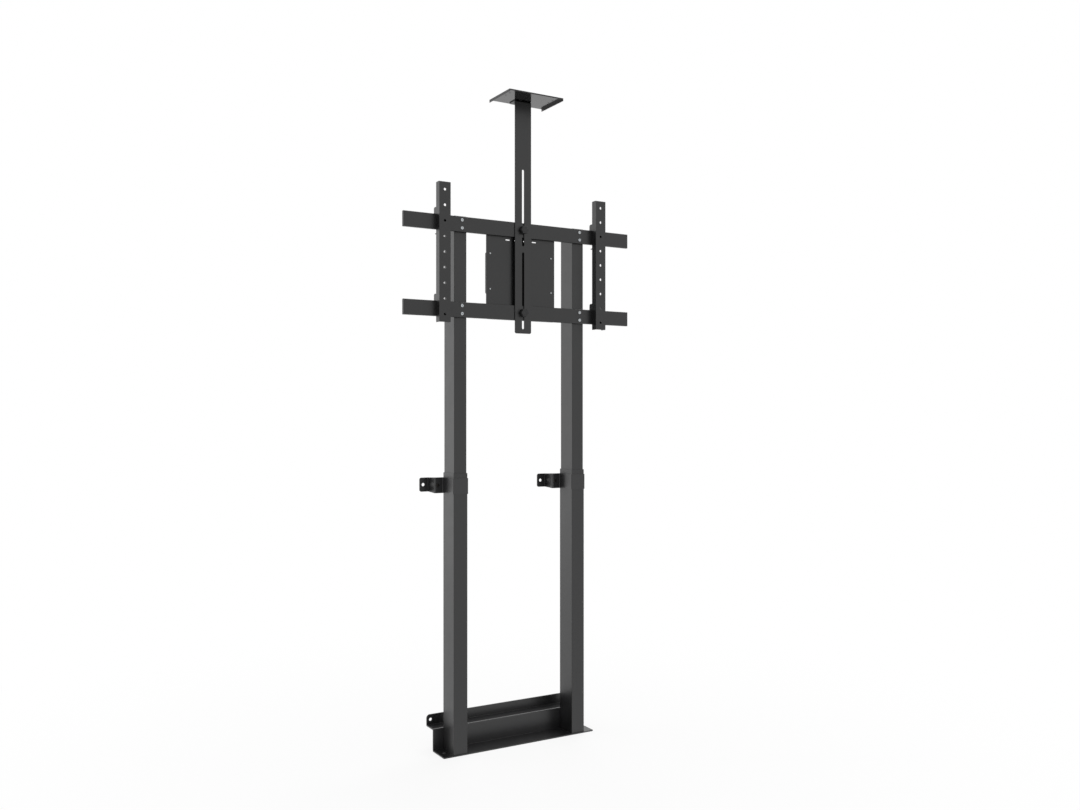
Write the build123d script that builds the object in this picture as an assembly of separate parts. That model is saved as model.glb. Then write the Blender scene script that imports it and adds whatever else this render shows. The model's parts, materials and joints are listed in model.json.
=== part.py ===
from build123d import *

import math
import os

# A motorised lift for a large flat display. Two telescopic columns stand on one folded bracket.
# X runs to the right, Y back to the wall, Z up, in millimetres. The origin is on the floor, midway
# between the columns, in the plane of their centre lines. The lift is modelled fully raised.

# Clearances that several pieces share
body_gap = 0.3
shaft_gap = 0.05
cut_over = 5.0

# Columns: rectangular steel tubes that telescope
column_spacing = 455.0
outer_width = 50.0
outer_depth = 80.0
outer_wall = 1.5
outer_corner = 1.5
bore_corner = 0.5
outer_top = 922.5
inner_inset = 2.5
inner_wall = 1.5
inner_corner = 1.5
hollow_corner = 0.5
tube_overlap = 322.5
stroke = 500.0
collar_height = 8.0
collar_skirt = 40.0
collar_edge = 1.0
glide_height = 60.0
cap_flange = 3.0
cap_skirt = 8.0
cap_wall = 2.0
cap_edge = 1.0

# Base: one folded sheet, from the floor up to the wall
base_sheet = 4.0
base_bend = 0.8
plate_beyond = 36.5
plate_front = 3.0
plate_corner = 3.0
ledge_height = 75.0
wall_distance = 95.5
flange_height = 109.0
flange_corner = 12.0
floor_hole_r = 5.5
floor_hole_in = 20.0
wall_hole_r = 5.5
wall_hole_in = 14.0
bend_relief = 2.5

# Foot blocks in the columns, and what holds them down
foot_height = 20.0
foot_screw_r = 4.0
foot_screw_reach = 25.0
foot_screw_length = 16.0
foot_head_r = 7.0
foot_head_recess = 0.3
foot_head_rim = 0.5
foot_socket_r = 2.5
foot_socket_depth = 2.5
web_bolt_r = 4.0
web_bolt_head_r = 7.0
web_bolt_head = 4.0
web_bolt_length = 10.0
web_bolt_low = 35.0
web_bolt_high = 60.0

# Clamp bands and wall brackets
clamp_drop = 16.5
clamp_height = 52.0
band_sheet = 2.5
band_ear = 29.0
band_hook = 13.0
band_ear_corner = 4.0
bracket_sheet = 3.0
bracket_bend = 1.0
bracket_reach = 31.0
bracket_span = 62.0
bracket_taper = 2.5
bracket_corner = 7.0
bracket_hole_r = 5.5
bracket_hole_out = 49.0
clamp_bolt_r = 3.0
clamp_bolt_out = 22.0
clamp_head_r = 5.5
clamp_head = 3.5
clamp_bolt_spare = 4.0
clamp_nut_r = 5.7
clamp_nut = 5.0
bolt_clearance = 0.2

# Drive in each column: the nut stands on a push tube, the spindle and motor ride with the inner tube
push_tube_r = 11.0
push_tube_wall = 3.0
push_tube_seat = 10.0
nut_height = 40.0
nut_r = 15.0
nut_flange_r = 18.0
nut_flange = 6.0
nut_spigot = 15.0
spindle_r = 6.0
spindle_below_nut = 40.0
spindle_chamfer = 1.0
journal_r = 4.0
journal_reach = 20.0
park_gap = 20.0
bearing_height = 12.0
bearing_r = 14.0
bearing_lip = 3.0
bearing_lip_r = 17.0
gearbox_height = 40.0
gearbox_neck = 8.0
gearbox_neck_r = 17.0
motor_r = 19.0
motor_length = 110.0
motor_edge = 2.0
motor_tail_r = 12.0
motor_tail = 8.0

# Cross bars that the display hangs on
bars_span = 329.0
bar_length = 860.0
bar_height = 50.0
bar_depth = 12.0
bar_wall = 2.0
bar_corner = 2.5
bar_gap = 8.5
bar_cap = 2.0
bar_cap_plug = 12.0
bar_cap_slack = 0.15
bar_bolt_r = 3.0
bar_bolt_spread = 26.0
bar_bolt_length = 15.5
bar_head_r = 5.5
bar_head = 3.3
hex_socket_r = 2.2
hex_socket_depth = 1.8

# Display rails: folded channels that hook over the bars
grid_width = 600.0
grid_step = 50.0
grid_hole_r = 4.25
grid_end = 20.0
rail_below = 20.0
rail_above = 101.0
rail_width = 40.0
rail_depth = 24.7
rail_sheet = 2.0
rail_corner = 2.5
rail_tip_corner = 6.0
hook_rise = 22.0
hook_drop = 15.0
hook_sheet = 4.2
hook_round_share = 0.25
lock_tab_drop = 12.0
lock_tab_sheet = 3.0
lock_screw_r = 3.0
lock_knob_r = 9.0
lock_knob_height = 12.0
lock_knob_gap = 3.0
lock_knob_grips = 12
lock_grip_r = 1.2

# Carrier plate between the bars
carrier_beyond = 6.0
carrier_sheet = 2.0
carrier_corner = 8.0
carrier_screw_r = 2.5
carrier_screw_in = 14.0
carrier_head_r = 4.8
carrier_head = 2.6
carrier_screw_length = 7.0
tie_slot_width = 3.5
tie_slot_length = 16.0
tie_slot_step = 34.0
tie_slot_count = 4
tie_slot_in = 10.0

# Control box on the carrier plate
box_depth = 48.0
box_wall = 2.5
box_corner = 5.0
box_above_bar = 40.0
box_below_bar = 49.0
box_ear = 16.0
box_ear_height = 22.0
box_ear_sheet = 3.0
box_ear_corner = 5.0
box_post_r = 4.0
box_post_in = 9.0
lid_sheet = 2.5
lid_lip = 3.0
lid_slack = 0.2
lid_screw_r = 1.5
lid_screw_length = 10.0
lid_head_r = 3.0
lid_head = 2.0
vent_width = 3.0
vent_length = 32.0
vent_step = 8.0
vent_count = 11
vent_row_gap = 12.0
vent_round_share = 0.475
board_sheet = 1.6
board_margin = 6.0
board_level = 8.0
board_post_r = 3.0
supply_width = 72.0
supply_height_share = 0.5
supply_depth = 28.0
supply_edge = 3.0
relay_share = 0.14
relay_height = 16.0
relay_count = 3
capacitor_share = 0.06
capacitor_height = 22.0
capacitor_step_share = 1.5

# Sockets, switch and buttons on the underside of the control box
socket_line_share = 0.5
socket_side_room = 14.6
socket_gap = 5.0
inlet_width = 24.0
inlet_depth = 16.5
inlet_recess = 17.0
inlet_shell = 1.5
inlet_flange = 2.0
inlet_rim = 4.0
inlet_floor = 3.0
inlet_corner = 2.0
pin_width = 2.0
pin_depth = 4.0
pin_length = 9.0
pin_spread = 7.0
pin_offset = 2.0
port_width = 12.0
port_depth = 9.0
port_recess = 11.0
port_spacing = 20.0
port_shell = 2.0
port_flange = 1.5
port_floor = 2.0
rocker_width = 19.0
rocker_depth = 12.5
rocker_edge_drop = 3.2
rocker_middle_drop = 1.4
rocker_height = 9.0
rocker_tilt = 7.0
rocker_pivot_rise = 5.0
rocker_pin_r = 1.5
rocker_pin_length = 1.5
rocker_well_gap = 1.3
bezel_rim = 3.0
bezel_sheet = 1.6
bezel_well = 16.0
bezel_wall = 1.4
button_room = 25.0
button_spread = 25.0
button_r = 6.0
button_proud = 3.0
button_travel = 2.0
button_flange_r = 8.0
button_flange = 1.5
button_edge = 1.0
button_stem_r = 2.0
switch_body = 10.0
switch_height = 6.0

# Camera shelf: a tray on a strip that slides in front of the bars
shelf_underside = 2170.0
tray_width = 205.0
tray_depth = 140.0
tray_front = 144.0
tray_sheet = 2.0
tray_side_lip = 10.0
tray_front_lip = 5.0
tray_edge = 1.5
tray_hole_r = 2.75
tray_hole_spread = 164.0
tray_hole_front = 36.0
tray_hole_step = 27.0
strip_width = 62.0
strip_sheet = 3.0
strip_bend = 2.0
strip_foot = 40.0
strip_end = 15.0
strip_corner = 6.0
shelf_drop = 200.0
shelf_rise = 50.0
slot_clearance = 0.25
shelf_screw_r = 2.5
shelf_screw_spread = 36.0
shelf_head_r = 4.1
shelf_head_rim = 0.2
shelf_head_sunk = 0.1
shelf_socket_r = 1.7
shelf_socket_depth = 1.2
shelf_screw_spare = 3.0
shelf_nut_r = 4.6
shelf_nut = 4.0
knob_stud_r = 4.0
knob_r = 14.0
knob_height = 13.0
knob_face_r = 11.0
knob_face = 2.0
knob_lobes = 6
knob_grip_r = 5.0
knob_grip_out = 3.0
knob_edge = 1.5

# Heights and planes that follow from the sizes above
half_spacing = column_spacing / 2
inner_width = outer_width - 2 * inner_inset
inner_depth = outer_depth - 2 * inner_inset
bore_width = outer_width - 2 * outer_wall
bore_depth = outer_depth - 2 * outer_wall
hollow_width = inner_width - 2 * inner_wall
hollow_depth = inner_depth - 2 * inner_wall
column_back = outer_depth / 2
band_bend = outer_corner
inner_front = -inner_depth / 2
inner_bottom = outer_top - tube_overlap
lower_bar_bottom = outer_top + stroke + bar_gap
inner_top = lower_bar_bottom + bars_span
plate_half = half_spacing + outer_width / 2 + plate_beyond
clamp_top = outer_top - clamp_drop
clamp_bottom = clamp_top - clamp_height
clamp_middle = (clamp_top + clamp_bottom) / 2
nut_bottom = inner_bottom
gearbox_bottom = nut_bottom + nut_height + stroke + park_gap
bearing_bottom = gearbox_bottom - bearing_height
motor_bottom = gearbox_bottom + gearbox_height + gearbox_neck
upper_bar_bottom = inner_top - bar_height
bar_back = inner_front
bar_front = bar_back - bar_depth
bar_middle = (bar_back + bar_front) / 2
lower_bar_middle = lower_bar_bottom + bar_height / 2
upper_bar_middle = upper_bar_bottom + bar_height / 2
rail_back = bar_front - body_gap
rail_front = rail_back - rail_depth
rail_bottom = lower_bar_bottom - rail_below
rail_top = inner_top + rail_above
rail_length = rail_top - rail_bottom
display_centre = (rail_bottom + rail_top) / 2
carrier_back = bar_back + carrier_sheet
box_bottom = lower_bar_bottom + bar_height + box_above_bar
box_top = upper_bar_bottom - box_below_bar
box_back = carrier_back + box_depth
socket_line = carrier_back + (box_depth - lid_sheet) * socket_line_share
inlet_body = inlet_width + 2 * inlet_shell
inlet_span = inlet_body + 2 * inlet_rim
rocker_well = rocker_width + 2 * rocker_well_gap
bezel_body = rocker_well + 2 * bezel_wall
bezel_span = bezel_body + 2 * bezel_rim
ports_body = port_spacing + port_width + 2 * port_shell
ports_span = ports_body + 2 * port_shell
inlet_place = -ports_span / 2 - socket_gap - bezel_span - socket_gap - inlet_span / 2
rocker_place = -ports_span / 2 - socket_gap - bezel_span / 2
box_width = 2 * (inlet_span / 2 + socket_side_room - inlet_place)
carrier_width = box_width + 2 * (box_ear + carrier_beyond)
up_place = ports_span / 2 + button_room
down_place = up_place + button_spread
strip_back = bar_front - body_gap
strip_front = strip_back - strip_sheet
slot_r = knob_stud_r + slot_clearance


def block(x, y, z):
    """Box between a pair of limits along each axis."""
    size = (x[1] - x[0], y[1] - y[0], z[1] - z[0])
    middle = ((x[0] + x[1]) / 2, (y[0] + y[1]) / 2, (z[0] + z[1]) / 2)
    return Pos(*middle) * Box(*size)


def centred(middle, size):
    """Pair of limits, the given size apart, about a middle."""
    return (middle - size / 2, middle + size / 2)


def rod(start, end, radius):
    """Round bar from one point to another."""
    first = Vector(*start)
    run = Vector(*end) - first
    along = (Align.CENTER, Align.CENTER, Align.MIN)
    return Plane(first, z_dir=run) * Cylinder(radius, run.length, align=along)


def upright(middle, width, depth, corner, bottom, top):
    """Upright bar of rounded rectangular section about a point of the floor plan."""
    outline = RectangleRounded(width, depth, corner)
    return Pos(middle[0], middle[1], bottom) * extrude(outline, top - bottom)


def crosswise(x, y, z, corner):
    """Bar along X whose section, seen from its end, is a rounded rectangle."""
    outline = RectangleRounded(y[1] - y[0], z[1] - z[0], corner)
    place = Plane(((x[0]), (y[0] + y[1]) / 2, (z[0] + z[1]) / 2), x_dir=(0, 1, 0), z_dir=(1, 0, 0))
    return place * extrude(outline, x[1] - x[0])


def panel(x, z, corner, front, back):
    """Sheet in the X-Z plane with rounded corners, between two depths."""
    outline = RectangleRounded(x[1] - x[0], z[1] - z[0], corner)
    place = Plane(((x[0] + x[1]) / 2, front, (z[0] + z[1]) / 2), x_dir=(1, 0, 0), z_dir=(0, -1, 0))
    return place * extrude(outline, front - back)


def hexagon(start, end, radius):
    """Hexagonal bar from one point to another, given its corner radius."""
    first = Vector(*start)
    run = Vector(*end) - first
    return Plane(first, z_dir=run) * extrude(RegularPolygon(radius, 6), run.length)


def folded(face_line, sheet, bend):
    """Section of a folded sheet that lies to the left of a line along one of its faces."""
    points = [Vector(*point) for point in face_line]
    runs = [(after - before).normalized() for before, after in zip(points, points[1:])]
    lefts = [Vector(-run.Y, run.X) for run in runs]
    near_side = [points[0]]
    far_side = [points[0] + lefts[0] * sheet]
    near_radii = [0]
    far_radii = [0]
    for index in range(1, len(points) - 1):
        before, after = lefts[index - 1], lefts[index]
        mitre = (before + after) * (sheet / (1 + before.dot(after)))
        turns_left = runs[index - 1].cross(runs[index]).Z > 0
        near_side.append(points[index])
        far_side.append(points[index] + mitre)
        near_radii.append(bend + sheet if turns_left else bend)
        far_radii.append(bend if turns_left else bend + sheet)
    near_side.append(points[-1])
    far_side.append(points[-1] + lefts[-1] * sheet)
    near_radii.append(0)
    far_radii.append(0)
    outline = near_side + far_side[::-1]
    radii = near_radii + far_radii[::-1]
    return make_face(FilletPolyline(*outline, radius=radii, close=True))


def side_section(section, x):
    """Extrudes a section drawn in Y and Z between two places along X."""
    return Plane((x[0], 0, 0), x_dir=(0, 1, 0), z_dir=(1, 0, 0)) * extrude(section, x[1] - x[0])


def plan_section(section, z):
    """Extrudes a section drawn in X and Y between two heights."""
    return Pos(0, 0, z[0]) * extrude(section, z[1] - z[0])


def socket_screw(seat, direction, head, head_r, shank, shank_r):
    """Button-head screw: its head stands on the seat against the direction of its shank."""
    seat = Vector(*seat)
    way = Vector(*direction)
    crown = seat - way * head
    body = rod(crown, seat, head_r)
    rim = body.edges().filter_by(GeomType.CIRCLE).sort_by_distance(crown)[0]
    body = fillet(rim, head / 2)
    body += rod(seat, seat + way * shank, shank_r)
    return body - hexagon(crown, crown + way * hex_socket_depth, hex_socket_r)


def base_bracket():
    """Floor plate, web, ledge and wall flange folded from one sheet."""
    web_back = column_back + base_sheet
    line = [
        (-outer_depth / 2 - plate_front, 0),
        (web_back, 0),
        (web_back, ledge_height - base_sheet),
        (wall_distance, ledge_height - base_sheet),
        (wall_distance, flange_height),
    ]
    sheet = side_section(folded(line, base_sheet, base_bend), (-plate_half, plate_half))
    ends = sheet.edges().filter_by(Axis.Y).group_by(Axis.Z)[-1]
    sheet = fillet(ends, flange_corner)
    front = sheet.edges().filter_by(Axis.Z).group_by(Axis.Y)[0]
    sheet = fillet(front, plate_corner)
    for side in (-1, 1):
        hole_x = side * (plate_half - floor_hole_in)
        sheet -= rod((hole_x, 0, -cut_over), (hole_x, 0, base_sheet + cut_over), floor_hole_r)
        hole_x = side * (plate_half - wall_hole_in)
        level = (ledge_height + flange_height) / 2
        front_of_flange = wall_distance - base_sheet - cut_over
        sheet -= rod((hole_x, front_of_flange, level), (hole_x, wall_distance + cut_over, level), wall_hole_r)
        for reach in (-foot_screw_reach, foot_screw_reach):
            sheet -= foot_screw(side * half_spacing, reach, True)
        for level in (web_bolt_low, web_bolt_high):
            start = (side * half_spacing, column_back - cut_over, level)
            end = (side * half_spacing, web_back + cut_over, level)
            sheet -= rod(start, end, web_bolt_r + bolt_clearance)
    return sheet


def countersunk(crown, direction, head_r, rim, shank_r, length):
    """Flat-head screw: a thin rim, a cone at 45 degrees and a shank that ends a length from the crown."""
    crown = Vector(*crown)
    way = Vector(*direction)
    cone = head_r - shank_r
    along = (Align.CENTER, Align.CENTER, Align.MIN)
    seat = crown + way * rim
    screw = rod(crown, seat, head_r)
    screw += Plane(seat, z_dir=way) * Cone(head_r, shank_r, cone, align=along)
    return screw + rod(seat, crown + way * length, shank_r)


def foot_screw(x, y, as_hole=False):
    """Countersunk screw from under the floor plate, or the hole that takes it."""
    crown = Vector(x, y, foot_head_recess)
    up = Vector(0, 0, 1)
    if as_hole:
        length = base_sheet + cut_over
        hole = countersunk(crown, up, foot_head_r, foot_head_rim, foot_screw_r, length)
        return hole + rod((x, y, -cut_over), crown, foot_head_r)
    length = base_sheet + foot_screw_length - foot_head_recess
    screw = countersunk(crown, up, foot_head_r, foot_head_rim, foot_screw_r, length)
    return screw - hexagon(crown, crown + up * foot_socket_depth, foot_socket_r)


def bend_wedge(x):
    """Wedge that clears the sheet's bend at the back of a column's foot."""
    back = column_back + cut_over
    low = base_sheet - cut_over
    high = base_sheet + bend_relief + cut_over
    line = Polyline((column_back - bend_relief - cut_over, low), (back, low), (back, high), close=True)
    return side_section(make_face(line), centred(x, outer_width + 2 * cut_over))


def outer_tube(x):
    """Fixed tube of a column, with holes for the web bolts."""
    top = outer_top - collar_height
    tube = upright((x, 0), outer_width, outer_depth, outer_corner, base_sheet, top)
    tube -= upright((x, 0), bore_width, bore_depth, bore_corner, base_sheet - cut_over, top + cut_over)
    tube -= bend_wedge(x)
    for level in (web_bolt_low, web_bolt_high):
        inside = (x, column_back - outer_wall - cut_over, level)
        tube -= rod(inside, (x, column_back + cut_over, level), web_bolt_r)
    return tube


def collar(x):
    """Guide collar: a flush cap on the outer tube, with a thin skirt that guides the inner tube."""
    bottom = outer_top - collar_height
    ring = upright((x, 0), outer_width, outer_depth, outer_corner, bottom, outer_top)
    ring = fillet(ring.edges().group_by(Axis.Z)[-1], collar_edge)
    ring += upright((x, 0), bore_width, bore_depth, bore_corner, bottom - collar_skirt, bottom)
    opening = (inner_width + 2 * body_gap, inner_depth + 2 * body_gap, inner_corner + body_gap)
    low = bottom - collar_skirt - cut_over
    return ring - upright((x, 0), *opening, low, outer_top + cut_over)


def foot_block(x):
    """Block in the column's foot that the screws pull down and the push tube stands in."""
    top = base_sheet + foot_height
    solid = upright((x, 0), bore_width, bore_depth, bore_corner, base_sheet, top)
    solid -= bend_wedge(x)
    solid -= rod((x, 0, top - push_tube_seat), (x, 0, top + cut_over), push_tube_r)
    for reach in (-foot_screw_reach, foot_screw_reach):
        tip = (x, reach, base_sheet + foot_screw_length)
        solid -= rod((x, reach, base_sheet - cut_over), tip, foot_screw_r)
    return solid


def push_tube(x):
    """Fixed tube that carries the nut at its top and takes the spindle inside."""
    bottom = base_sheet + foot_height - push_tube_seat
    tube = rod((x, 0, bottom), (x, 0, nut_bottom), push_tube_r)
    return tube - rod((x, 0, bottom - cut_over), (x, 0, nut_bottom + cut_over), push_tube_r - push_tube_wall)


def lift_nut(x):
    """Nut with a flange on the push tube and a spigot inside it."""
    top = nut_bottom + nut_height
    nut = rod((x, 0, nut_bottom), (x, 0, top), nut_r)
    nut += rod((x, 0, nut_bottom), (x, 0, nut_bottom + nut_flange), nut_flange_r)
    nut += rod((x, 0, nut_bottom - nut_spigot), (x, 0, nut_bottom), push_tube_r - push_tube_wall)
    bore = rod((x, 0, nut_bottom - nut_spigot - cut_over), (x, 0, top + cut_over), spindle_r + shaft_gap)
    return nut - bore


def spindle(x):
    """Lifting spindle with a journal that runs in the bearing and the gearbox."""
    bottom = nut_bottom - spindle_below_nut
    shoulder = bearing_bottom - body_gap
    shaft = rod((x, 0, bottom), (x, 0, shoulder), spindle_r)
    shaft = chamfer(shaft.edges().filter_by(GeomType.CIRCLE), spindle_chamfer)
    return shaft + rod((x, 0, shoulder), (x, 0, gearbox_bottom + journal_reach), journal_r)


def spindle_bearing(x):
    """Flanged bearing under the gearbox."""
    ring = rod((x, 0, bearing_bottom), (x, 0, gearbox_bottom), bearing_r)
    ring += rod((x, 0, gearbox_bottom - bearing_lip), (x, 0, gearbox_bottom), bearing_lip_r)
    bore = rod((x, 0, bearing_bottom - cut_over), (x, 0, gearbox_bottom + cut_over), journal_r + shaft_gap)
    return ring - bore


def gearbox(x):
    """Gear housing that fills the inner tube's section, with a round neck for the motor."""
    top = gearbox_bottom + gearbox_height
    housing = upright((x, 0), hollow_width, hollow_depth, hollow_corner, gearbox_bottom, top)
    housing += rod((x, 0, top), (x, 0, motor_bottom), gearbox_neck_r)
    well = gearbox_bottom + journal_reach + body_gap
    return housing - rod((x, 0, gearbox_bottom - cut_over), (x, 0, well), journal_r + shaft_gap)


def motor(x):
    """Tube motor on the gearbox."""
    top = motor_bottom + motor_length
    can = rod((x, 0, motor_bottom), (x, 0, top), motor_r)
    can = fillet(can.edges().filter_by(GeomType.CIRCLE).group_by(Axis.Z)[-1], motor_edge)
    return can + rod((x, 0, top), (x, 0, top + motor_tail), motor_tail_r)


def bar_bolt_points(x):
    """Heights at which a bar is bolted to a column, for both bars."""
    levels = [lower_bar_middle, upper_bar_middle]
    spread = (-bar_bolt_spread / 2, bar_bolt_spread / 2)
    return [(x, bar_front, level + offset) for level in levels for offset in spread]


def inner_tube(x):
    """Moving tube of a column, with threaded holes for the bar bolts."""
    tube = upright((x, 0), inner_width, inner_depth, inner_corner, inner_bottom, inner_top)
    low, high = inner_bottom - cut_over, inner_top + cut_over
    tube -= upright((x, 0), hollow_width, hollow_depth, hollow_corner, low, high)
    for point in bar_bolt_points(x):
        behind = inner_front + inner_wall + cut_over
        tube -= rod((x, inner_front - cut_over, point[2]), (x, behind, point[2]), bar_bolt_r)
    return tube


def lower_glide(x):
    """Thin sleeve round the inner tube's lower end that runs in the outer tube."""
    size = (bore_width - 2 * body_gap, bore_depth - 2 * body_gap)
    sleeve = upright((x, 0), *size, inner_corner, inner_bottom, inner_bottom + glide_height)
    low, high = inner_bottom - cut_over, inner_bottom + glide_height + cut_over
    return sleeve - upright((x, 0), inner_width, inner_depth, inner_corner, low, high)


def tube_cap(x):
    """Plastic cap in the inner tube's top."""
    top = inner_top + cap_flange
    cap = upright((x, 0), inner_width, inner_depth, inner_corner, inner_top, top)
    cap = fillet(cap.edges().group_by(Axis.Z)[-1], cap_edge)
    cap += upright((x, 0), hollow_width, hollow_depth, hollow_corner, inner_top - cap_skirt, inner_top)
    room = (hollow_width - 2 * cap_wall, hollow_depth - 2 * cap_wall, cap_wall)
    return cap - upright((x, 0), *room, inner_top - cap_skirt - cut_over, inner_top)


def clamp_band(x):
    """Band round the front and sides of a column, with an ear on its left and a hook on its right."""
    side = outer_width / 2
    hook_plane = column_back + bracket_sheet
    line = [
        (x + side - band_hook, hook_plane),
        (x + side, hook_plane),
        (x + side, -column_back),
        (x - side, -column_back),
        (x - side, column_back),
        (x - side - band_ear, column_back),
    ]
    band = plan_section(folded(line, band_sheet, band_bend), (clamp_bottom, clamp_top))
    ends = band.edges().filter_by(Axis.Y).group_by(Axis.X)[0]
    band = fillet(ends, band_ear_corner)
    return band - clamp_bolt_hole(x)


def clamp_bolt_hole(x):
    """Hole for the clamp bolt through the band's ear and the bracket."""
    place = x - outer_width / 2 - clamp_bolt_out
    front = (place, column_back - band_sheet - cut_over, clamp_middle)
    back = (place, column_back + bracket_sheet + cut_over, clamp_middle)
    return rod(front, back, clamp_bolt_r + bolt_clearance)


def wall_bracket(x):
    """Z-shaped bracket: a plate behind the column, a tapering web and a flange on the wall."""
    side = outer_width / 2
    wall_face = wall_distance - bracket_sheet
    line = [
        (x - side - bracket_span, wall_face),
        (x - side - bracket_reach, wall_face),
        (x - side - bracket_reach, column_back),
        (x + side - band_bend, column_back),
    ]
    sheet = plan_section(folded(line, bracket_sheet, bracket_bend), (clamp_bottom, clamp_top))
    narrow = clamp_height / 2 - bracket_taper
    start = column_back + bracket_sheet
    outline = [
        (column_back - cut_over, clamp_height / 2),
        (start, clamp_height / 2),
        (wall_face, narrow),
        (wall_distance + cut_over, narrow),
    ]
    lower = [(py, -pz) for py, pz in reversed(outline)]
    taper = make_face(Polyline(*outline, *lower, close=True))
    reach = (x - side - bracket_span - cut_over, x + side + cut_over)
    sheet = sheet & (Pos(0, 0, clamp_middle) * side_section(taper, reach))
    ends = sheet.edges().filter_by(Axis.Y).group_by(Axis.X)[0]
    sheet = fillet(ends, bracket_corner)
    hole_x = x - side - bracket_hole_out
    hole = rod((hole_x, wall_face - cut_over, clamp_middle), (hole_x, wall_distance + cut_over, clamp_middle),
               bracket_hole_r)
    return sheet - hole - clamp_bolt_hole(x)


def clamp_bolt(x):
    """Bolt that pulls the band's ear to the bracket."""
    seat = (x - outer_width / 2 - clamp_bolt_out, column_back - band_sheet, clamp_middle)
    shank = band_sheet + bracket_sheet + clamp_nut + clamp_bolt_spare
    return socket_screw(seat, (0, 1, 0), clamp_head, clamp_head_r, shank, clamp_bolt_r)


def clamp_nut_solid(x):
    """Hexagon nut behind the bracket."""
    place = x - outer_width / 2 - clamp_bolt_out
    front = column_back + bracket_sheet
    nut = hexagon((place, front, clamp_middle), (place, front + clamp_nut, clamp_middle), clamp_nut_r)
    bore_end = (place, front + clamp_nut + cut_over, clamp_middle)
    return nut - rod((place, front - cut_over, clamp_middle), bore_end, clamp_bolt_r)


def web_bolt(x, level):
    """Bolt from behind the web into the column."""
    seat = (x, column_back + base_sheet, level)
    return socket_screw(seat, (0, -1, 0), web_bolt_head, web_bolt_head_r, web_bolt_length, web_bolt_r)


def cross_bar(bottom):
    """Rectangular tube across both columns."""
    half = bar_length / 2
    depth = (bar_front, bar_back)
    height = (bottom, bottom + bar_height)
    bar = crosswise((-half, half), depth, height, bar_corner)
    inner_y = (bar_front + bar_wall, bar_back - bar_wall)
    inner_z = (bottom + bar_wall, bottom + bar_height - bar_wall)
    bar -= crosswise((-half - cut_over, half + cut_over), inner_y, inner_z, bar_corner - bar_wall)
    middle = bottom + bar_height / 2
    for side in (-1, 1):
        for offset in (-bar_bolt_spread / 2, bar_bolt_spread / 2):
            start = (side * half_spacing, bar_front - cut_over, middle + offset)
            end = (side * half_spacing, bar_back + cut_over, middle + offset)
            bar -= rod(start, end, bar_bolt_r + bolt_clearance)
        screw_x = side * (carrier_width / 2 - carrier_screw_in)
        start = (screw_x, bar_back - bar_wall - cut_over / 2, middle)
        bar -= rod(start, (screw_x, bar_back + cut_over, middle), carrier_screw_r)
    front = (0, bar_front - cut_over, middle)
    return bar - rod(front, (0, bar_middle, middle), knob_stud_r + shaft_gap)


def bar_cap_solid(side, bottom):
    """End cap of a cross bar, with a plug inside the tube."""
    end = side * bar_length / 2
    outside = sorted((end, end + side * bar_cap))
    inside = sorted((end, end - side * bar_cap_plug))
    cap = crosswise(outside, (bar_front, bar_back), (bottom, bottom + bar_height), bar_corner)
    inset = bar_wall + bar_cap_slack
    depth = (bar_front + inset, bar_back - inset)
    height = (bottom + inset, bottom + bar_height - inset)
    return cap + crosswise(inside, depth, height, bar_corner - bar_wall)


def display_rail(x):
    """Channel with hooked side walls, holes on the display's grid and a tab for the lock screw."""
    tip_front = bar_back + body_gap
    tip_back = tip_front + hook_sheet
    outline = [(rail_front, rail_bottom), (rail_back, rail_bottom)]
    corners = [rail_corner, rail_corner]
    for bottom in (lower_bar_bottom, upper_bar_bottom):
        bar_top = bottom + bar_height
        outline += [
            (rail_back, bar_top + body_gap),
            (tip_front, bar_top + body_gap),
            (tip_front, bar_top - hook_drop),
            (tip_back, bar_top - hook_drop),
            (tip_back, bar_top + hook_rise),
            (rail_back, bar_top + hook_rise),
        ]
        tip_round = hook_sheet * hook_round_share
        corners += [0, 0, tip_round, tip_round, rail_tip_corner, 0]
    outline += [(rail_back, rail_top), (rail_front, rail_top)]
    corners += [rail_corner, rail_corner]
    section = make_face(FilletPolyline(*outline, radius=corners, close=True))
    rail = side_section(section, centred(x, rail_width))
    inside = centred(x, rail_width - 2 * rail_sheet)
    height = (rail_bottom - cut_over, rail_top + cut_over)
    rail -= block(inside, (rail_front + rail_sheet, tip_back + cut_over), height)
    tab_top = upper_bar_bottom - lock_tab_drop
    tab_bottom = tab_top - lock_tab_sheet
    rail += block(inside, (rail_front + rail_sheet, bar_back), (tab_bottom, tab_top))
    low, high = (x, bar_middle, tab_bottom - cut_over), (x, bar_middle, tab_top + cut_over)
    rail -= rod(low, high, lock_screw_r + shaft_gap)
    count = int((rail_length / 2 - grid_end) / grid_step)
    for step in range(-count, count + 1):
        level = display_centre + step * grid_step
        start = (x, rail_front - cut_over, level)
        rail -= rod(start, (x, rail_front + rail_sheet + cut_over, level), grid_hole_r)
    return rail


def rail_lock(x):
    """Thumb screw that closes the hook under the upper bar."""
    tab_bottom = upper_bar_bottom - lock_tab_drop - lock_tab_sheet
    knob_top = tab_bottom - lock_knob_gap
    knob_bottom = knob_top - lock_knob_height
    outline = Circle(lock_knob_r)
    outline -= PolarLocations(lock_knob_r, lock_knob_grips) * Circle(lock_grip_r)
    knob = Pos(x, bar_middle, knob_bottom) * extrude(outline, lock_knob_height)
    return knob + rod((x, bar_middle, knob_top), (x, bar_middle, upper_bar_bottom - body_gap), lock_screw_r)


def carrier_screw_points():
    """Places where the carrier plate is screwed to the bars."""
    half = carrier_width / 2 - carrier_screw_in
    levels = (lower_bar_middle, upper_bar_middle)
    return [(side * half, carrier_back, level) for side in (-1, 1) for level in levels]


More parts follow.
